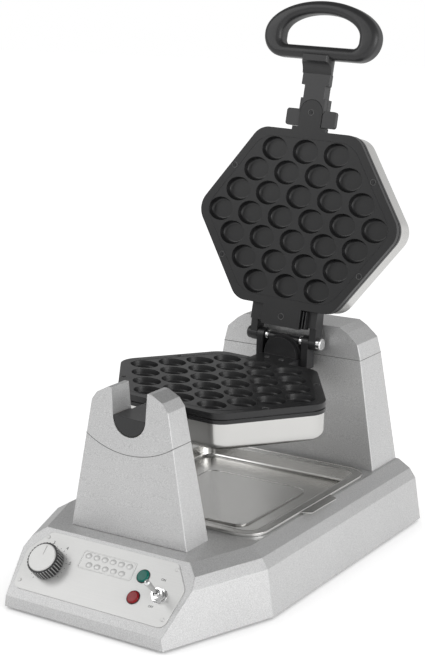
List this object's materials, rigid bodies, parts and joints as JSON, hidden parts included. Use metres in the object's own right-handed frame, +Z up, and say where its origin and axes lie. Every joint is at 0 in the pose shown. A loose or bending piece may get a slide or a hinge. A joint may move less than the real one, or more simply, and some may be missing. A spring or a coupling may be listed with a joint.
{
  "type": "bubble waffle maker",
  "caption": "Counter-top waffle iron with oval cups in a hexagon, turning in two cast posts over a drip tray, with a sloped control panel.",
  "frame": {"origin": "on the table, under the middle of the whole machine with its lid open", "axes": "+X to the user's right, +Y to the back, +Z up; the control panel faces -Y"},
  "size_m": [0.273, 0.435, 0.5572],
  "materials": {
    "cast_paint": "fine speckled silver paint",
    "nonstick": "matt dark non-stick coat",
    "stainless": "brushed",
    "chrome": "polished",
    "steel": "plain machined",
    "black_metal": "satin black",
    "black_plastic": "satin moulded",
    "rubber": "matt",
    "bronze": "plain bearing metal",
    "panel_silver": "fine brushed",
    "green_lens": "tinted clear",
    "red_lens": "tinted clear",
    "ceramic": "plain"
  },
  "bodies": {
    "base": {"base_housing": "cast_paint", "base_bottom_plate": "steel", "foot_screws": "steel", "bottom_screws": "steel", "post_bolts": "steel", "front_post_body": "cast_paint", "front_post_cap": "cast_paint", "front_saddle": "bronze", "rear_post_body": "cast_paint", "rear_post_cap": "cast_paint", "rear_bushing": "bronze", "control_plate": "panel_silver", "panel_rivets": "chrome", "green_lamp_lens": "green_lens", "green_lamp_body": "black_plastic", "red_lamp_lens": "red_lens", "red_lamp_body": "black_plastic", "thermostat_body": "black_plastic", "toggle_body": "chrome", "toggle_nut": "chrome", "terminal_block": "ceramic", "cord_gland": "black_plastic", "rubber_foot_1": "rubber", "rubber_foot_2": "rubber", "rubber_foot_3": "rubber", "rubber_foot_4": "rubber"},
    "iron": {"lower_plate": "nonstick", "lower_ring": "nonstick", "lower_shell": "stainless", "lower_element": "steel", "lower_plate_screws": "black_metal", "front_journal": "nonstick", "rear_trunnion": "black_metal", "trunnion_screws": "steel", "rotor_shaft": "steel", "hinge_pin": "chrome", "hinge_sleeve": "chrome", "pin_head_right": "chrome", "pin_head_left": "black_metal"},
    "lid": {"upper_plate": "nonstick", "upper_ring": "nonstick", "upper_shell": "stainless", "upper_element": "steel", "upper_plate_screws": "black_metal", "tongue_screw": "black_metal", "handle_screw": "black_metal", "hinge_yoke": "black_metal", "handle_bracket": "nonstick", "handle_collar": "black_plastic", "handle_grip": "black_plastic"},
    "tray": {"drip_tray": "stainless", "drip_tray_tab": "stainless"},
    "knob": {"knob_skirt": "black_plastic", "knob_face": "panel_silver", "knob_shaft": "steel"},
    "toggle": {"toggle_lever": "chrome"}
  },
  "joints": [
    {"name": "iron_rotation", "type": "hinge", "parent": "base", "child": "iron", "pos_m": [0, 0.0175, 0.185], "axis": [0, 1, 0], "range_deg": [-10, 10]},
    {"name": "lid_hinge", "type": "hinge", "parent": "iron", "child": "lid", "pos_m": [0.00063, 0.1457, 0.20219], "axis": [0.9993, 0, -0.0366], "range_deg": [0, 102.3]},
    {"name": "tray_lift", "type": "slide", "parent": "base", "child": "tray", "axis": [0, 0, 1], "range_m": [0, 0.02]},
    {"name": "knob_turn", "type": "hinge", "parent": "base", "child": "knob", "pos_m": [-0.0605, -0.18788, 0.04192], "axis": [0, -0.682, 0.7314], "range_deg": [-150, 120]},
    {"name": "toggle_tilt", "type": "hinge", "parent": "base", "child": "toggle", "pos_m": [0.07, -0.19309, 0.04458], "axis": [1, 0, 0], "range_deg": [-12, 12]}
  ]
}
